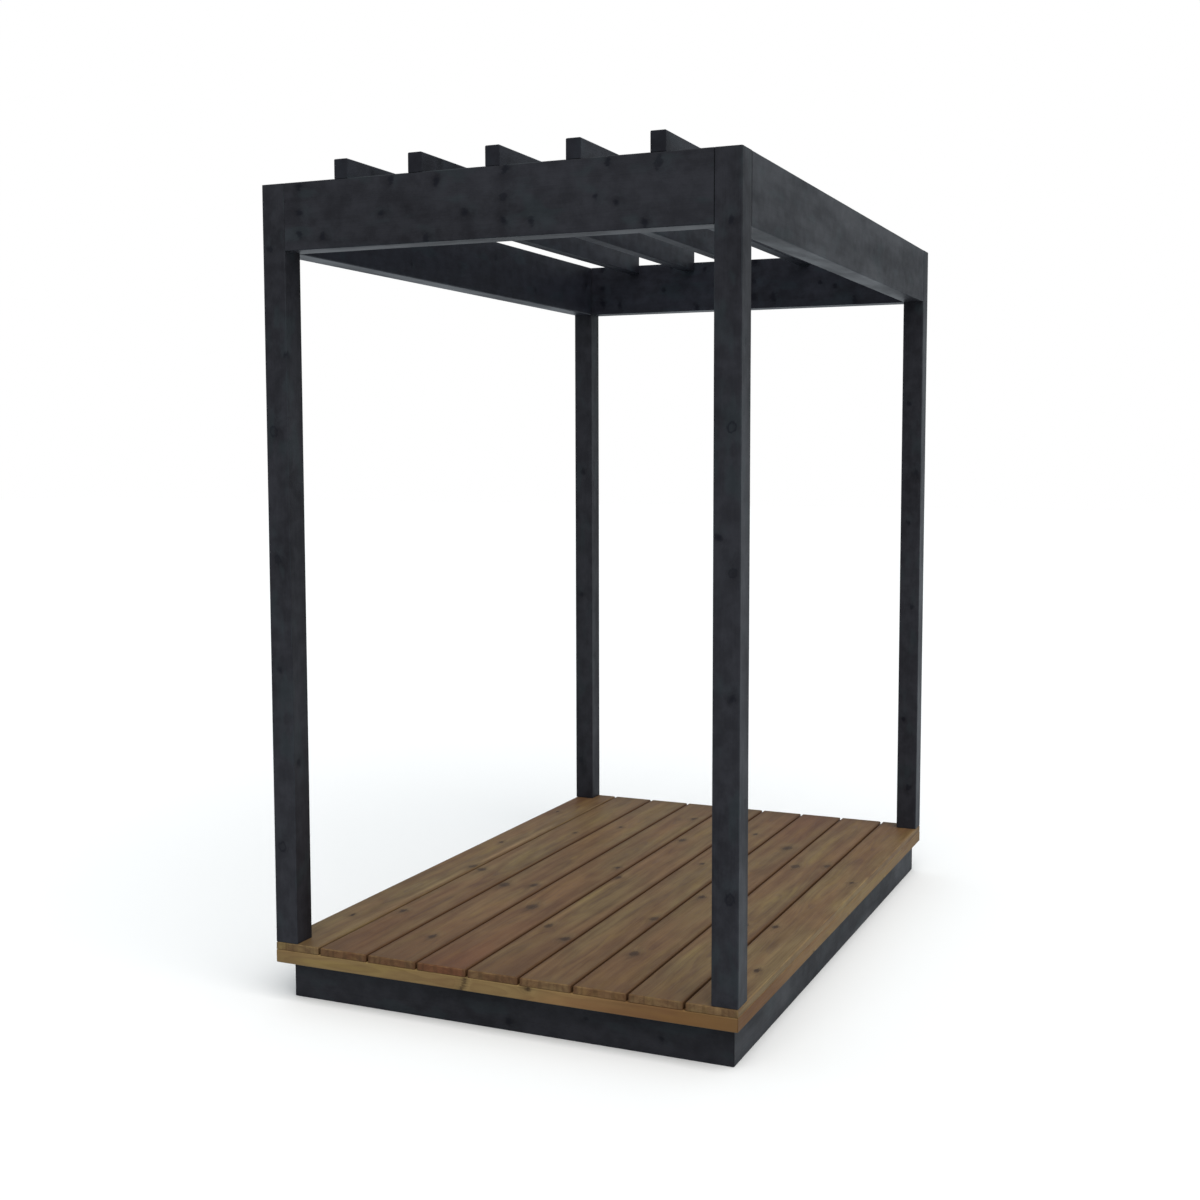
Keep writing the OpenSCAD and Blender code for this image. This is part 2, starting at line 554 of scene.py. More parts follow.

    # How far a point is from the nearer end, and how much painted shade the gap beside it gets.
    x, y, z = w.split(w.add("GeometryNodeInputPosition").outputs[0])
    from_end = w.math("SUBTRACT", half_x, w.math("ABSOLUTE", x))
    mesh = w.store(mesh, "from_end", from_end)
    left_reach, right_reach = (w.times(start["Edge Radius"], reach) for reach in GAP_REACH)
    left = w.ramp(w.math("SUBTRACT", half_y, y), left_reach, 0.0)
    right = w.ramp(w.math("ADD", half_y, y), right_reach, 0.0)
    painted_gap_shade = w.times(left, start["Left Gap"])
    painted_gap_shade = w.math("MULTIPLY_ADD", right, start["Right Gap"], painted_gap_shade)
    mesh = w.store(mesh, "painted_gap_shade", painted_gap_shade)

    # The notch is cut from the underside of the end at -X.
    notch = start["Notch Size"]
    corner = w.scale(w.vector("MULTIPLY", size, (1.0, 0.0, 1.0)), -0.5)
    cutter = w.add("GeometryNodeMeshCube", (w.scale(notch, 2.0), 2, 2, 2)).outputs["Mesh"]
    cutter = w.add("GeometryNodeTransform", {"Geometry": cutter, "Translation": corner}).outputs[0]
    cut = w.add("GeometryNodeMeshBoolean", operation="DIFFERENCE", solver="EXACT")
    tree.links.new(mesh, cut.inputs["Mesh 1"])
    tree.links.new(cutter, cut.inputs["Mesh 2"])
    choice = {"Switch": start["Has Notch"], "False": mesh, "True": cut.outputs[0]}
    mesh = w.add("GeometryNodeSwitch", choice, input_type="GEOMETRY").outputs[0]

    # Grain coordinates run along the trunk and are measured from its pith.
    position = w.add("GeometryNodeInputPosition").outputs[0]
    grain = w.vector("SUBTRACT", position, start["Pith"])
    mesh = w.store(mesh, "grain", grain, data_type="FLOAT_VECTOR")
    facing = w.vector("ABSOLUTE", w.add("GeometryNodeInputNormal").outputs[0])
    sawn = w.math("GREATER_THAN", w.split(facing)[0], SAWN_FACING)
    mesh = w.store(mesh, "sawn_end", sawn, domain="FACE")

    mesh = w.add("GeometryNodeSetShadeSmooth", (mesh, True, True)).outputs[0]
    angle = w.add("GeometryNodeInputMeshEdgeAngle").outputs[0]
    sharp = w.math("GREATER_THAN", angle, SHARP_ANGLE)
    edges = {"Geometry": mesh, "Selection": sharp, "Shade Smooth": False}
    mesh = w.add("GeometryNodeSetShadeSmooth", edges, domain="EDGE").outputs[0]

    placed = {"Geometry": mesh, "Translation": start["Centre"], "Rotation": start["Turn"]}
    mesh = w.add("GeometryNodeTransform", placed).outputs[0]
    mesh = w.add("GeometryNodeRealizeInstances", (mesh,)).outputs[0]
    finished = {"Geometry": mesh, "Material": start["Finish"]}
    mesh = w.add("GeometryNodeSetMaterial", finished).outputs[0]
    tree.links.new(mesh, end["Geometry"])
    return tree


def knot_group():
    """Shader group for one knot: a branch that runs out from the pith and bends the grain."""
    takes = [
        ("Grain", "NodeSocketVector", None),
        ("Knot", "NodeSocketVector", None),
        ("Flaw", "NodeSocketFloat", 0.5),
        ("Stretch", "NodeSocketFloat", 1.4),
        ("Hollow", "NodeSocketFloat", 1.0),
    ]
    gives = [(name, "NodeSocketFloat") for name in KNOT_PARTS]
    tree, w, start, end = new_group("knot", "ShaderNodeTree", takes, gives)
    x, y, z = w.split(start["Grain"])
    along, turn, radius = w.split(start["Knot"])
    # The stand-in for a missing knot has no size, which nothing can be divided by.
    radius = w.math("MAXIMUM", radius, 0.0001)
    cosine = w.math("COSINE", turn)
    sine = w.math("SINE", turn)
    out = w.math("MULTIPLY_ADD", z, sine, w.times(y, cosine))
    aside = w.math("SUBTRACT", w.times(z, cosine), w.times(y, sine))
    aside = w.math("DIVIDE", aside, radius)
    # The branch leans along the trunk, and its section is longer along the grain.
    ahead = w.math("SUBTRACT", w.math("SUBTRACT", x, along), w.times(out, KNOT_LEAN))
    ahead = w.math("DIVIDE", ahead, radius)
    far = w.combine(w.math("DIVIDE", ahead, start["Stretch"]), aside, 0.0)
    far = w.vector("LENGTH", far)
    # A small knot is less even in shape than a large one.
    large = w.ramp(radius, *DEAD_TO_LIVE)
    flaw = w.math("SUBTRACT", start["Flaw"], 0.5)
    flaw = w.times(flaw, w.math("MULTIPLY_ADD", large, -1.3, 2.6))
    far = w.math("ADD", far, flaw)

    # A small dead knot is dark all through, and a large live one mostly in its ring of bark.
    hollow = w.times(large, start["Hollow"])
    core = w.times(w.ramp(far, *CORE_EDGE), w.math("SUBTRACT", 1.0, hollow))
    core = w.times(core, w.ramp(radius, *FAINT_TO_DARK))
    thinness = w.math("MULTIPLY_ADD", hollow, 2.0, 2.6)
    bark = w.bell(w.times(w.math("SUBTRACT", far, BARK_AT), thinness))
    bark = w.times(bark, w.math("MULTIPLY_ADD", large, 0.55, 0.45))
    bend = w.bell(w.math("DIVIDE", far, BEND_REACH))
    halo = w.combine(w.math("SUBTRACT", ahead, HALO_AHEAD), aside, 0.0)
    halo = w.bell(w.math("DIVIDE", w.vector("LENGTH", halo), HALO_REACH))
    resin = w.bell(w.times(aside, RESIN_NARROWING))
    resin = w.times(resin, w.bell(w.math("DIVIDE", ahead, RESIN_REACH)))
    this_side = w.ramp(out, *PITH_TO_BRANCH)
    for name, part in zip(KNOT_PARTS, (core, bark, bend, halo, resin)):
        tree.links.new(w.times(part, this_side), end[name])
    return tree


def figure_group(knot):
    """Shader group for the figure of sawn softwood: rings, fibres, streaks, clouds and two knots."""
    takes = [
        ("Grain", "NodeSocketVector", None),
        ("Near Knot", "NodeSocketVector", None),
        ("Next Knot", "NodeSocketVector", None),
        ("Knot Stretch", "NodeSocketFloat", 1.4),
        ("Hollow Knots", "NodeSocketFloat", 1.0),
        ("Ring Spacing", "NodeSocketFloat", 0.0036),
        ("Cloud Scale", "NodeSocketVector", None),
    ]
    gives = [(name, "NodeSocketFloat") for name in WOOD_PARTS + KNOT_PARTS]
    tree, w, start, end = new_group("timber_figure", "ShaderNodeTree", takes, gives)
    grain = start["Grain"]
    x, y, z = w.split(grain)
    flaw = w.waves(grain, FLAW_WAVES, 3.0)
    knots = []
    for name in ("Near Knot", "Next Knot"):
        inputs = {
            "Grain": grain,
            "Knot": start[name],
            "Flaw": flaw,
            "Stretch": start["Knot Stretch"],
            "Hollow": start["Hollow Knots"],
        }
        knots.append(w.add("ShaderNodeGroup", inputs, node_tree=knot).outputs)
    sums = {}
    for name in KNOT_PARTS:
        sums[name] = w.math("ADD", knots[0][name], knots[1][name], clamp=True)
        tree.links.new(sums[name], end[name])

    # Growth rings round a pith line that wanders along the trunk, and swings past knots.
    wander = w.waves(grain, PITH_WAVES, 2.0)
    ripple = w.waves(grain, RIPPLE_WAVES, 2.0)
    swing = w.math("MULTIPLY_ADD", wander, PITH_WANDER, w.times(ripple, PITH_RIPPLE))
    swing = w.math("MULTIPLY_ADD", sums["Bend"], PITH_PUSH, swing)
    depth = w.math("SQRT", w.math("MULTIPLY_ADD", y, y, w.times(z, z)))
    depth = w.math("ADD", depth, swing)
    pace = w.noise(w.combine(w.times(depth, RING_DRIFT_WAVES), 0.0, 0.0), 1.0)
    phase = w.math("DIVIDE", depth, start["Ring Spacing"])
    phase = w.math("MULTIPLY_ADD", pace, RING_DRIFT, phase)
    step = w.math("FRACT", phase)
    late_wood = w.times(w.ramp(step, 0.30, 0.90), w.ramp(step, 0.99, 0.91))

    # Fibres, streaks that keep to their own rings, and clouds of uneven colour.
    side = w.times(sums["Bend"], FIBRE_PUSH)
    bent = w.vector("ADD", grain, w.combine(0.0, side, side))
    fibre = w.waves(bent, FIBRE_WAVES, 4.0, 0.62)
    streak = w.ramp(w.waves(w.combine(x, depth, y), STREAK_WAVES, 4.0, 0.6), 0.30, 0.70)
    cloudy = w.vector("MULTIPLY", grain, start["Cloud Scale"])
    cloud = w.ramp(w.noise(cloudy, 4.0, 0.6), 0.32, 0.70)
    patchy = w.vector("MULTIPLY_ADD", cloudy, PATCH_SHARES, PATCH_START)
    patch = w.ramp(w.noise(patchy, 2.0, 0.5), 0.54, 0.68)
    drift = w.ramp(w.waves(grain, DRIFT_WAVES, 3.0, 0.5), 0.34, 0.66)
    # Dark checks that stand upright in the sawn ends.
    check = w.ramp(w.waves(grain, CHECK_WAVES, 3.0, 0.5), 0.46, 0.66)
    for name, part in zip(WOOD_PARTS, (late_wood, fibre, streak, cloud, patch, drift, check)):
        tree.links.new(part, end[name])
    return tree


def wear_and_highlight_group():
    """Shader group for eased edges: a broken line along each arris, used both as wear and as a painted
    highlight where the rounded edge catches the light.
    """
    takes = [("Grain", "NodeSocketVector", None), ("Arris", "NodeSocketFloat", 0.0)]
    gives = [("Wear And Highlight", "NodeSocketFloat")]
    tree, w, start, end = new_group("edge_wear_and_highlight", "ShaderNodeTree", takes, gives)
    patches = w.ramp(w.waves(start["Grain"], WEAR_WAVES, 4.0, 0.6), 0.36, 0.66)
    tree.links.new(w.times(patches, start["Arris"]), end["Wear And Highlight"])
    return tree


def relief(w, figure, wear_and_highlight, depth):
    """A bump of raised late wood and fibres, and sunk bark and edges, depth metres high."""
    height = w.times(figure["Late Wood"], 0.45)
    height = w.math("MULTIPLY_ADD", figure["Fibre"], 0.5, height)
    height = w.math("MULTIPLY_ADD", figure["Bark"], -0.8, height)
    height = w.math("MULTIPLY_ADD", wear_and_highlight, -0.5, height)
    bump = {"Strength": 1.0, "Distance": depth, "Height": height}
    return w.add("ShaderNodeBump", bump).outputs[0]


def cell_count(length, cell):
    """How many mesh cells a side of this length gets, the rounded edges included."""
    return 2 * EDGE_CELLS + max(1, round(length / cell))


class Shop:
    """What is made once and used by every timber: the geometry tree, node groups and finishes."""

    # What reddish and yellowish wood do to red, green and blue.
    RED_SHIFT = (1.02, 0.84, 0.86)
    YELLOW_SHIFT = (1.10, 1.14, 0.98)
    # How far stain soaks in from a sawn end, in metres.
    SOAK = 0.11

    def __init__(self, scene):
        self.timber = scene.pergola_timber
        self.finish = scene.pergola_finish
        self.tree = eased_timber_tree()
        self.figure = figure_group(knot_group())
        self.wear_and_highlight = wear_and_highlight_group()
        finish = self.finish
        self.finishes = {
            "black_stained_timber": self.black_stain("black_stained_timber"),
            "deck_timber": self.brown_timber("deck_timber", finish.board_early, finish.board_late),
            "rim_timber": self.brown_timber("rim_timber", finish.rim_early, finish.rim_late),
        }

    def timber_material(self, name, knot_stretch, hollow_knots, cloud_scale):
        """A material with its wiring, the figure, the wear, and the shader to feed them to."""
        material = bpy.data.materials.new(name)
        material.use_nodes = True
        tree = material.node_tree
        tree.nodes.clear()
        w = Wiring(tree)
        grain = w.attribute("grain")["Vector"]
        inputs = {
            "Grain": grain,
            "Near Knot": w.attribute("knot_near")["Vector"],
            "Next Knot": w.attribute("knot_next")["Vector"],
            "Knot Stretch": knot_stretch,
            "Hollow Knots": hollow_knots,
            "Ring Spacing": self.timber.ring_spacing,
            "Cloud Scale": cloud_scale,
        }
        figure = w.add("ShaderNodeGroup", inputs, node_tree=self.figure).outputs
        inputs = {"Grain": grain, "Arris": w.attribute("arris")["Fac"]}
        wear_and_highlight = w.add("ShaderNodeGroup", inputs, node_tree=self.wear_and_highlight).outputs["Wear And Highlight"]
        shader = w.add("ShaderNodeBsdfPrincipled")
        w.add("ShaderNodeOutputMaterial", {"Surface": shader.outputs[0]})
        return material, w, figure, wear_and_highlight, shader.inputs

    def black_stain(self, name):
        """The finish of the black timbers: a thin stain, which the wood takes unevenly."""
        material, w, figure, wear_and_highlight, shader = self.timber_material(name, 1.15, 0.85, (22.0, 26.0, 26.0))
        dark, light, green = self.finish.stain_dark, self.finish.stain_light, self.finish.stain_bloom
        sawn = w.attribute("sawn_end")["Fac"]
        take = w.weigh(
            0.46,
            (figure["Cloud"], 0.5, 0.44),
            (figure["Streak"], 0.5, 0.12),
            (figure["Drift"], 0.5, 0.34),
            (figure["Fibre"], 0.5, 0.15),
            (figure["Late Wood"], 0.35, -0.06),
            (figure["Bend"], 0.02, -0.30),
        )
        colour = w.blend(take, dark, light)
        bloom = w.math("MAXIMUM", w.times(figure["Halo"], figure["Cloud"]), figure["Patch"])
        colour = w.coat(colour, bloom, 0.32, green)
        knot = Vector(dark) * Vector((0.15, 0.2, 0.5))
        colour = w.coat(colour, figure["Core"], 0.72, knot)
        colour = w.coat(colour, figure["Bark"], 0.62, knot)
        colour = w.multiply(colour, w.attribute("tone")["Color"])
        # Wear and painted highlight: the arrises are lightened with the green bloom where the rounded
        # edges catch the light.
        colour = w.coat(colour, wear_and_highlight, 0.45, Vector(green) * 1.2)
        colour = w.coat(colour, sawn, 0.5, Vector(dark) * 0.8)
        w.feed(shader["Base Color"], colour)
        rough = w.weigh(
            0.46,
            (figure["Fibre"], 0.5, 0.08),
            (figure["Cloud"], 0.5, -0.03),
            (figure["Drift"], 0.5, -0.13),
            (sawn, 0.0, 0.25),
        )
        w.feed(shader["Roughness"], rough)
        shader["Specular IOR Level"].default_value = 0.16
        w.feed(shader["Normal"], relief(w, figure, wear_and_highlight, 0.13 * MM))
        return material

    def brown_timber(self, name, early, late):
        """The finish of the brown timbers, in the colours of their early and late wood."""
        material, w, figure, wear_and_highlight, shader = self.timber_material(name, 1.6, 0.3, (9.0, 26.0, 26.0))
        knot = self.finish.knot
        sawn = w.attribute("sawn_end")["Fac"]
        ring = w.weigh(
            0.46,
            (figure["Late Wood"], 0.35, 0.34),
            (figure["Streak"], 0.5, 0.65),
            (figure["Cloud"], 0.5, 0.35),
            (figure["Fibre"], 0.5, 0.40),
        )
        colour = w.blend(ring, early, late)
        colour = w.coat(colour, figure["Drift"], 0.8, w.multiply(colour, self.RED_SHIFT))
        colour = w.coat(colour, figure["Patch"], 0.8, w.multiply(colour, self.YELLOW_SHIFT))
        colour = w.multiply(colour, w.attribute("tone")["Color"])
        # Sawn ends, and the wood near them, took more of the stain.
        soaked = w.math("EXPONENT", w.times(w.attribute("from_end")["Fac"], -1.0 / self.SOAK))
        share = w.math("MULTIPLY_ADD", sawn, -0.30, 0.38)
        colour = w.coat(colour, soaked, share, Vector(late) * 0.8)
        colour = w.coat(colour, figure["Halo"], 0.35, Vector(early) * 1.3)
        colour = w.coat(colour, figure["Bend"], 0.45, Vector(late) * 0.7)
        share = w.math("MULTIPLY_ADD", figure["Fibre"], 0.9, 0.05)
        colour = w.coat(colour, figure["Resin"], share, Vector(late) * 0.6)
        colour = w.coat(colour, figure["Core"], 0.95, knot)
        colour = w.coat(colour, figure["Bark"], 0.45, knot)
        # Wear and painted highlight: the arrises are lightened towards pale early wood where the
        # rounded edges catch the light.
        colour = w.coat(colour, wear_and_highlight, 0.38, Vector(early) * 1.8)
        colour = w.coat(colour, w.times(sawn, figure["Check"]), 0.34, Vector(late) * 0.5)
        # Painted shade: the boards are darkened towards the gaps between them.
        colour = w.coat(colour, w.attribute("painted_gap_shade")["Fac"], 0.9, self.finish.gap)
        w.feed(shader["Base Color"], colour)
        rough = w.weigh(
            0.56,
            (figure["Fibre"], 0.5, 0.30),
            (figure["Late Wood"], 0.35, -0.06),
            (sawn, 0.0, 0.20),
        )
        w.feed(shader["Roughness"], rough)
        shader["Specular IOR Level"].default_value = 0.13
        w.feed(shader["Normal"], relief(w, figure, wear_and_highlight, 0.22 * MM))
        return material

    def make_mesh(self, name, values):
        """Runs the geometry tree with these inputs, and gives its result as a plain mesh."""
        maker = bpy.data.objects.new(name + "_maker", bpy.data.meshes.new(name + "_maker"))
        bpy.context.scene.collection.objects.link(maker)
        modifier = maker.modifiers.new("Timber", "NODES")
        modifier.node_group = self.tree
        for item in self.tree.interface.items_tree:
            if item.item_type == "SOCKET" and item.in_out == "INPUT":
                modifier[item.identifier] = values[item.name]
        bpy.context.view_layer.update()
        evaluated = maker.evaluated_get(bpy.context.evaluated_depsgraph_get())
        mesh = bpy.data.meshes.new_from_object(evaluated)
        bpy.data.objects.remove(maker)
        return mesh

    def timber_piece(
        self,
        node,
        turn,
        slot,
        pith,
        knots,
        board=False,
        mitre=0.0,
        notch=None,
        gaps=(0.0, 0.0),
        tone=PLAIN,
        streaks=(),
    ):
        """Builds one timber in a node's place. Pith, knots and streaks are in its own lying frame.

        Gaps say how much painted shade darkens the sides at +Y and -Y, from 0 where nothing is beside
        them.
        """
        low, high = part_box(node)
        size = lying_size(node, turn)
        chance = random.Random(node)
        # Each timber comes from its own place along a trunk.
        pith = Vector((-chance.uniform(3.0, 60.0), pith[0], pith[1]))
        upper = self.timber.board_arris if board else self.timber.frame_arris
        values = {
            "Size": size,
            "Cells Along": cell_count(size.x, self.timber.cell),
            "Cells Across": cell_count(size.y, self.timber.cell_across),
            "Cells Up": cell_count(size.z, self.timber.cell_across),
            "Edge Radius": upper,
            "Lower Radius": self.timber.sawn_arris if board else upper,
            "End Radius": upper * 0.6 if board else self.timber.sawn_arris,
            "Unevenness": self.timber.unevenness,
            "Mitre": mitre,
            "Left Gap": gaps[0],
            "Right Gap": gaps[1],
            "Has Notch": notch is not None,
            "Notch Size": notch or Vector((0.01, 0.01, 0.01)),
            "Seed": chance.uniform(0.0, 50.0),
            "Pith": pith,
            "Turn": Euler(turn),
            "Centre": (low + high) / 2,
            "Finish": self.finishes[slot],
        }
        mesh = self.make_mesh(node, values)
        mesh.name = node + "_timber"
        spin = Euler(turn).to_matrix()
        paint_knots(mesh, pith, knots, spin, values["Centre"])
        paint_tone(mesh, tone, streaks, spin, values["Centre"])
        piece = bpy.data.objects.new(node + "_timber", mesh)
        bpy.context.scene.collection.objects.link(piece)
        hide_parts(node)
        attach(piece, BODY)
        return piece


def paint(mesh, name, values, kind, domain, field):
    """Stores values as a named attribute of the mesh."""
    attribute = mesh.attributes.new(name, kind, domain)
    attribute.data.foreach_set(field, np.asarray(values, np.float32).ravel())


def lying_places(elements, field, spin, centre):
    """Where the elements of a placed mesh were while the timber lay along X round its middle."""
    flat = np.zeros(len(elements) * 3, np.float32)
    elements.foreach_get(field, flat)
    return (flat.reshape(-1, 3) - np.array(centre)) @ np.array(spin)


def paint_tone(mesh, tone, streaks, spin, centre):
    """Stores the tone of a timber: its lightness, its redder ends, and its streaks.

    A streak is (middle across, width, start, end, how pale).
    """
    light, red_first, red_last, shift = tone
    places = lying_places(mesh.vertices, "co", spin, centre)
    x, y = places[:, 0], places[:, 1]
    first = np.exp((x.min() - x) / RED_REACH)
    last = np.exp((x - x.max()) / RED_REACH)
    red = (red_first * first + red_last * last)[:, None]
    colours = np.array(light) * (1.0 + red * (np.array(shift) - 1.0))
    for middle, width, begin, finish, strength in streaks:
        fade_in = np.clip((x - begin) / STREAK_FADE, 0.0, 1.0)
        fade_out = np.clip((finish - x) / STREAK_FADE, 0.0, 1.0)
        streak = fade_in * fade_out * np.exp(-(((y - middle) / (width / 2)) ** 2))
        colours = colours * (1.0 + strength * streak[:, None] * (np.array(SAPWOOD) - 1.0))
    colours = np.hstack([colours, np.ones((len(x), 1))])
    paint(mesh, "tone", colours, "FLOAT_COLOR", "POINT", "color")


def paint_knots(mesh, pith, knots, spin, centre):
    """Tells every face which two knots are nearest. A knot is (along, y, z, radius) where it opens."""
    spots = lying_places(mesh.polygons, "center", spin, centre) - np.array(pith)
    # Two knots of no size, far away, stand in where a timber has fewer than two.
    rows = [(0.0, 0.0, 0.0), (0.0, 0.0, 0.0)]
    gaps = [np.full(len(spots), 1e6), np.full(len(spots), 2e6)]
    for along, y, z, radius in knots:
        turn = math.atan2(z - pith.z, y - pith.y)
        side = math.hypot(z - pith.z, y - pith.y)
        row = (along - pith.x - KNOT_LEAN * side, turn, radius)
        out = spots[:, 1] * math.cos(turn) + spots[:, 2] * math.sin(turn)
        aside = spots[:, 2] * math.cos(turn) - spots[:, 1] * math.sin(turn)
        ahead = spots[:, 0] - row[0] - KNOT_LEAN * out
        gap = np.hypot(ahead, aside) / radius
        rows.append(row)
        # A knot on the other side of the pith counts as far away.
        gaps.append(np.where(out < -0.002, gap + 1000.0, gap))
    order = np.argsort(np.array(gaps), axis=0)
    rows = np.array(rows)
    for name, place in (("knot_near", 0), ("knot_next", 1)):
        paint(mesh, name, rows[order[place]], "FLOAT_VECTOR", "FACE", "vector")


def stray_knots(node, size, count, radii):
    """Knots at random on the four long faces, the same on every run."""
    chance = random.Random(node + "_knots")
    knots = []
    for i in range(count):
        along = size.x * ((i + chance.uniform(0.2, 0.8)) / count - 0.5)
        turn = chance.uniform(0.0, 2 * math.pi)
        y, z = size.y / 2 * math.cos(turn), size.z / 2 * math.sin(turn)
        knots.append((along, y, z, chance.uniform(*radii) * MM))
    return knots


def lying_streaks(table, size):
    """Streaks in a lying timber's frame, from a table that measures from its corner at -X and +Y."""
    start, side = -size.x / 2, size.y / 2
    return [
        (side - across * MM, wide * MM, start + begin * MM, start + finish * MM, strength)
        for across, wide, begin, finish, strength in table
    ]


def face_knots(table, size):
    """Knots on the outer face, at -Y, from a table of (distance along, height, radius)."""
    return [(a * MM - size.x / 2, -size.y / 2, h * MM - size.z / 2, r * MM) for a, h, r in table]


def lying_size(node, turn):
    """The length, width and height of a node's timber while it lies along X."""
    low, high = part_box(node)
    size = Euler(turn).to_matrix().transposed() @ (high - low)
    return Vector([abs(s) for s in size])


def names(prefix):
    """The CAD nodes whose names start with this prefix, in order."""
    return sorted(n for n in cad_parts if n.startswith(prefix))


def shop():
    """The shop is opened once and kept for all the operators."""
    if shop.kept is None:
        shop.kept = Shop(bpy.context.scene)
    return shop.kept


shop.kept = None


class PERGOLA_OT_stage(bpy.types.Operator):
    """Sets the floor, the soft light and the camera"""

    bl_idname = "pergola.stage"
    bl_label = "Set the stage"

    # The camera stands to the right of the front, at about eye height.
    EYE = Vector((1.8357, -4.3810, 1.4945))
    YAW = math.radians(22.866)
    PITCH = math.radians(-4.542)
    SHIFT = (-0.0322, -0.0180)

    # How far the floor reaches each way, in metres.
    FLOOR_REACH = 40.0

    SUN_FROM = Vector((0.369, -0.439, 0.819))
    SUN_WIDTH = math.radians(60)
    SUN_COLOUR = (1.0, 0.97, 0.93)

    def execute(self, context):
        settings = context.scene.pergola_stage
        scene = context.scene
        scene.view_settings.view_transform = "Standard"
        self.add_sky(scene, settings)
        self.add_sun(scene, settings)
        self.add_floor(scene, settings)
        self.add_camera(scene, settings)
        return {"FINISHED"}

    def add_sky(self, scene, settings):
        """Even soft light, behind which the backdrop itself stays white."""
        world = bpy.data.worlds.new("soft_sky")
        world.use_nodes = True
        world.node_tree.nodes.clear()
        w = Wiring(world.node_tree)
        light = w.add("ShaderNodeBackground", ((*settings.sky_colour, 1.0), settings.sky_strength))
        backdrop = w.add("ShaderNodeBackground", ((1.0, 1.0, 1.0, 1.0), 1.0))
        seen = w.add("ShaderNodeLightPath").outputs["Is Camera Ray"]
        mix = w.add("ShaderNodeMixShader", (seen, light.outputs[0], backdrop.outputs[0]))
        w.add("ShaderNodeOutputWorld", {"Surface": mix.outputs[0]})
        scene.world = world

    def add_floor(self, scene, settings):
        far = self.FLOOR_REACH
        corners = [(-far, -far, 0), (far, -far, 0), (far, far, 0), (-far, far, 0)]
        mesh = bpy.data.meshes.new("pale_floor")
        mesh.from_pydata(corners, [], [(0, 1, 2, 3)])
        material = bpy.data.materials.new("pale_floor")
        material.use_nodes = True
        shader = material.node_tree.nodes["Principled BSDF"].inputs
        w = Wiring(material.node_tree)
        seen = w.add("ShaderNodeLightPath").outputs["Is Camera Ray"]
        w.feed(shader["Base Color"], w.blend(seen, settings.floor_bounce, settings.floor_colour))
        shader["Roughness"].default_value = 0.9
        shader["Specular IOR Level"].default_value = 0.1
        mesh.materials.append(material)
        floor = bpy.data.objects.new("pale_floor", mesh)
        scene.collection.objects.link(floor)

    def add_sun(self, scene, settings):
        light = bpy.data.lights.new("soft_sun", "SUN")
        light.energy = settings.sun_strength
        light.angle = self.SUN_WIDTH
        light.color = self.SUN_COLOUR
        sun = bpy.data.objects.new("soft_sun", light)
        sun.rotation_euler = self.SUN_FROM.to_track_quat("Z", "Y").to_euler()
        scene.collection.objects.link(sun)

    def add_camera(self, scene, settings):
        data = bpy.data.cameras.new("camera")
        data.sensor_width = 36.0
        data.lens = settings.lens
        data.shift_x, data.shift_y = self.SHIFT
        camera = bpy.data.objects.new("camera", data)
        camera.location = self.EYE
        camera.rotation_euler = (math.pi / 2 + self.PITCH, 0.0, self.YAW)
        scene.collection.objects.link(camera)
        scene.camera = camera


class PERGOLA_OT_posts(bpy.types.Operator):
    """Builds the four posts"""

    bl_idname = "pergola.posts"
    bl_label = "Build the posts"

    def execute(self, context):
        for node in names("post_"):
            size = lying_size(node, STANDS_UP)
            half = size.y / 2
            table = FRONT_POST_KNOTS if "front" in node else BACK_POST_KNOTS
            knots = []
            for height, facing, radius in table:
                turn = math.radians(facing + (LEFT_POST_TURN if "left" in node else 0))
                y, z = -half * math.cos(turn), -half * math.sin(turn)
                knots.append((height * MM - size.x / 2, y, z, radius * MM))
            chance = random.Random(node)
            pith = (chance.uniform(-0.010, 0.010), chance.uniform(-0.010, 0.010))
            streaks = lying_streaks(POST_STREAKS, size)
            shop().timber_piece(node, STANDS_UP, "black_stained_timber", pith, knots, streaks=streaks)
        return {"FINISHED"}


class PERGOLA_OT_beams(bpy.types.Operator):
    """Builds the four beams that join the tops of the posts"""

    bl_idname = "pergola.beams"
    bl_label = "Build the beams"

    def execute(self, context):
        for node in names("beam_"):
            crosses = node in ("beam_front", "beam_back")
            turn = LIES_ALONG_X if crosses else LIES_ALONG_Y
            size = lying_size(node, turn)
            if crosses:
                knots = face_knots(FRONT_BEAM_KNOTS, size)
            else:
                knots = stray_knots(node, size, 9, (5, 8))
            chance = random.Random(node)
            pith = (chance.uniform(0.004, 0.016), chance.uniform(-0.02, 0.02))
            # Painted shade: the left and back beams are darkened and tinted blue.
            tone = SHADED_BLUER if node in ("beam_left", "beam_back") else PLAIN
            shop().timber_piece(node, turn, "black_stained_timber", pith, knots, tone=tone)
        return {"FINISHED"}


class PERGOLA_OT_rafters(bpy.types.Operator):
    """Builds the rafters, each notched over the front beam"""

    bl_idname = "pergola.rafters"
    bl_label = "Build the rafters"

    def execute(self, context):
        beam_low, beam_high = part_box("beam_front")
        for node in names("rafter_"):
            low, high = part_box(node)
            size = lying_size(node, LIES_ALONG_Y)
            notch = Vector((beam_high.y - low.y, size.y, beam_high.z - low.z))
            chance = random.Random(node)
            pith = (chance.choice((-1, 1)) * chance.uniform(0.03, 0.06), chance.uniform(-0.02, 0.02))
            knots = stray_knots(node, size, 6, (4, 8))
            # Painted shade: the rafters are darkened and tinted blue.
            shop().timber_piece(
                node, LIES_ALONG_Y, "black_stained_timber", pith, knots, notch=notch, tone=SHADED_BLUER
            )
        return {"FINISHED"}


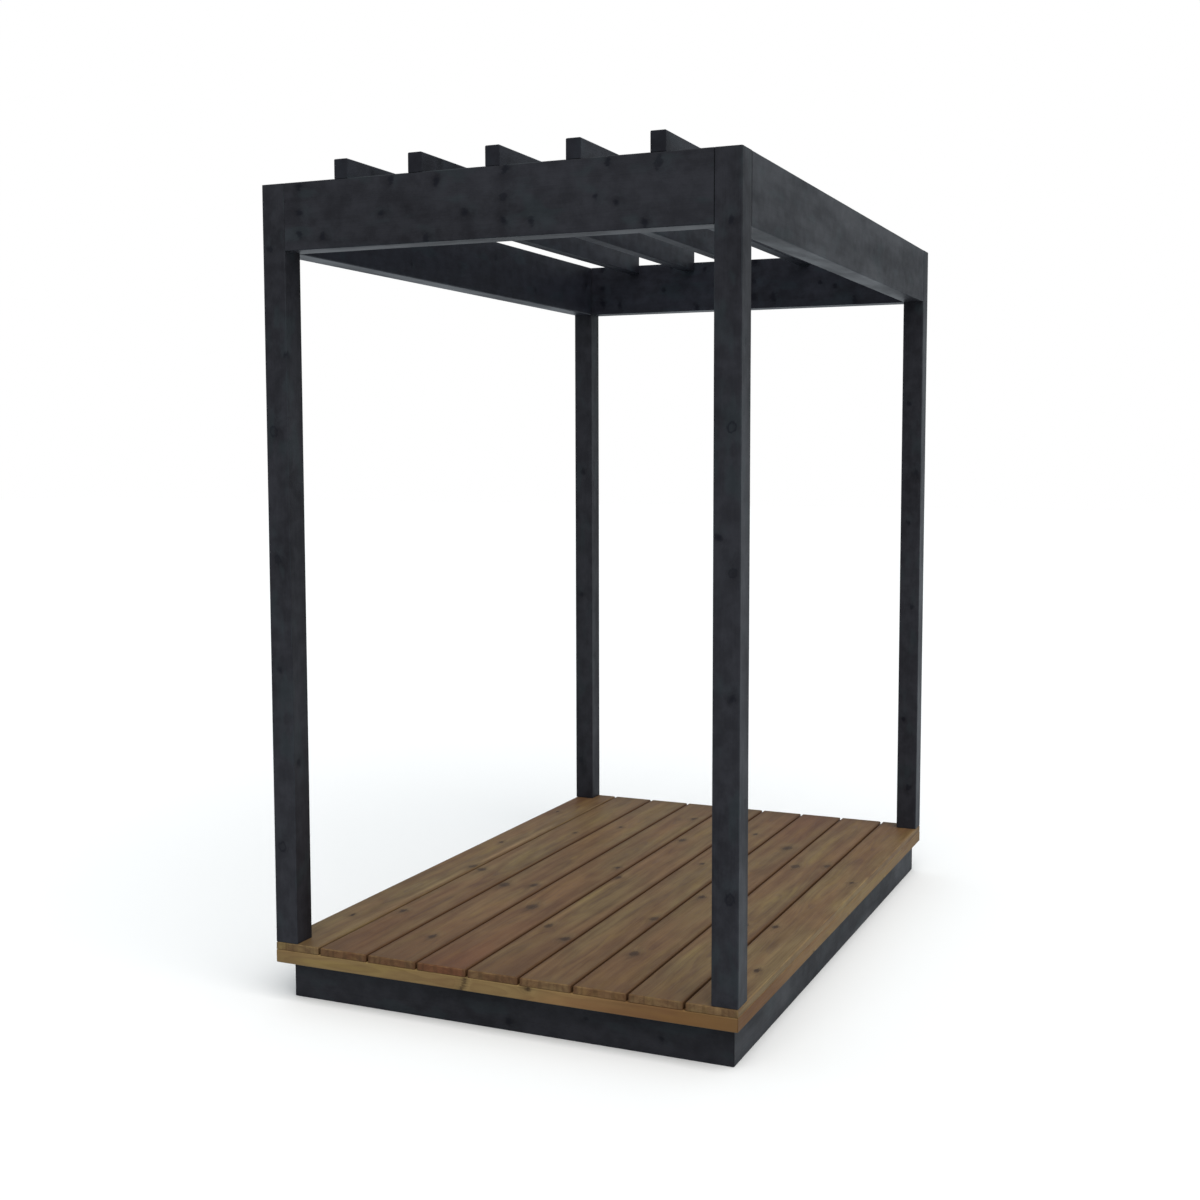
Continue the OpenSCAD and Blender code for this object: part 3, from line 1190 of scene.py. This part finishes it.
class PERGOLA_OT_deck_boards(bpy.types.Operator):
    """Builds the deck boards, each with its own tone and knots"""

    bl_idname = "pergola.deck_boards"
    bl_label = "Build the deck boards"

    def execute(self, context):
        boards = names("deck_board_")
        for number, node in enumerate(boards, 1):
            light, red_front, red_back, knot_table, streak_table = DECK_BOARDS[number]
            size = lying_size(node, LIES_ALONG_Y)
            knots = [
                (along * MM - size.x / 2, size.y / 2 - across * MM, size.z / 2, radius * MM)
                for along, across, radius in knot_table
            ]
            streaks = lying_streaks(streak_table, size)
            chance = random.Random(node)
            pith = (chance.uniform(-0.03, 0.03), -chance.uniform(0.045, 0.09))
            shop().timber_piece(
                node,
                LIES_ALONG_Y,
                "deck_timber",
                pith,
                knots,
                board=True,
                gaps=PAINTED_GAP_SHADES[number - 1:number + 1],
                tone=(light, red_front, red_back, BOARD_RED),
                streaks=streaks,
            )
        return {"FINISHED"}


def build_ring(prefix, slot, tones, front_knots=None, streak_tables=None):
    """Builds the four mitred timbers of a frame whose nodes share a prefix, with a tone for each."""
    for quarter, side in enumerate(SIDES):
        node = prefix + side
        turn = (0.0, 0.0, quarter * math.pi / 2)
        size = lying_size(node, turn)
        chance = random.Random(node)
        pith = (chance.uniform(0.02, 0.05), chance.uniform(-0.03, 0.03))
        if front_knots and side == "front":
            knots = face_knots(front_knots, size)
        else:
            knots = stray_knots(node, size, 5, (4, 7))
        streaks = lying_streaks((streak_tables or {}).get(side, ()), size)
        shop().timber_piece(
            node, turn, slot, pith, knots, mitre=size.y, tone=tones[side], streaks=streaks
        )


class PERGOLA_OT_rim(bpy.types.Operator):
    """Builds the rim frame and the joists under the deck boards"""

    bl_idname = "pergola.rim"
    bl_label = "Build the rim and joists"

    # How light each side is, and how red at its start and at its end, going round from the front
    # left corner.
    TONES = {
        "front": (0.96, 0.0, 0.9),
        "right": (0.88, 1.6, 0.1),
        "back": (0.9, 0.2, 0.4),
        "left": (0.9, 0.4, 0.0),
    }

    def execute(self, context):
        tones = {side: (*self.TONES[side], RIM_RED) for side in SIDES}
        build_ring("rim_", "rim_timber", tones, FRONT_RIM_KNOTS, RIM_STREAKS)
        for node in names("joist_"):
            chance = random.Random(node)
            pith = (chance.uniform(-0.04, 0.04), chance.uniform(0.02, 0.05))
            knots = stray_knots(node, lying_size(node, LIES_ALONG_X), 4, (4, 8))
            shop().timber_piece(node, LIES_ALONG_X, "rim_timber", pith, knots)
        return {"FINISHED"}


class PERGOLA_OT_plinth(bpy.types.Operator):
    """Builds the black plinth that the deck stands on"""

    bl_idname = "pergola.plinth"
    bl_label = "Build the plinth"

    def execute(self, context):
        # Painted shade: the plinth is darkened for the shade under the deck.
        build_ring("plinth_", "black_stained_timber", dict.fromkeys(SIDES, PLINTH_PAINTED_SHADE))
        return {"FINISHED"}


class PERGOLA_PT_panel(bpy.types.Panel):
    """Lists the steps and the sizes and colours that they use"""

    bl_idname = "PERGOLA_PT_panel"
    bl_label = "Timber Pergola"
    bl_space_type = "VIEW_3D"
    bl_region_type = "UI"
    bl_category = "Pergola"

    def draw(self, context):
        for step in STEPS:
            self.layout.operator(step.bl_idname)
        for group in ("pergola_timber", "pergola_finish", "pergola_stage"):
            settings = getattr(context.scene, group)
            box = self.layout.box()
            for name in settings.__annotations__:
                box.prop(settings, name)


STEPS = (
    PERGOLA_OT_stage,
    PERGOLA_OT_deck_boards,
    PERGOLA_OT_rim,
    PERGOLA_OT_plinth,
    PERGOLA_OT_posts,
    PERGOLA_OT_beams,
    PERGOLA_OT_rafters,
)
CLASSES = (TimberSettings, FinishSettings, StageSettings, *STEPS, PERGOLA_PT_panel)


def register():
    for each in CLASSES:
        bpy.utils.register_class(each)
    bpy.types.Scene.pergola_timber = bpy.props.PointerProperty(type=TimberSettings)
    bpy.types.Scene.pergola_finish = bpy.props.PointerProperty(type=FinishSettings)
    bpy.types.Scene.pergola_stage = bpy.props.PointerProperty(type=StageSettings)


def unregister():
    del bpy.types.Scene.pergola_stage
    del bpy.types.Scene.pergola_finish
    del bpy.types.Scene.pergola_timber
    for each in reversed(CLASSES):
        bpy.utils.unregister_class(each)


def main():
    register()
    for step in STEPS:
        group, name = step.bl_idname.split(".")
        getattr(getattr(bpy.ops, group), name)()


if __name__ == "__main__":
    main()
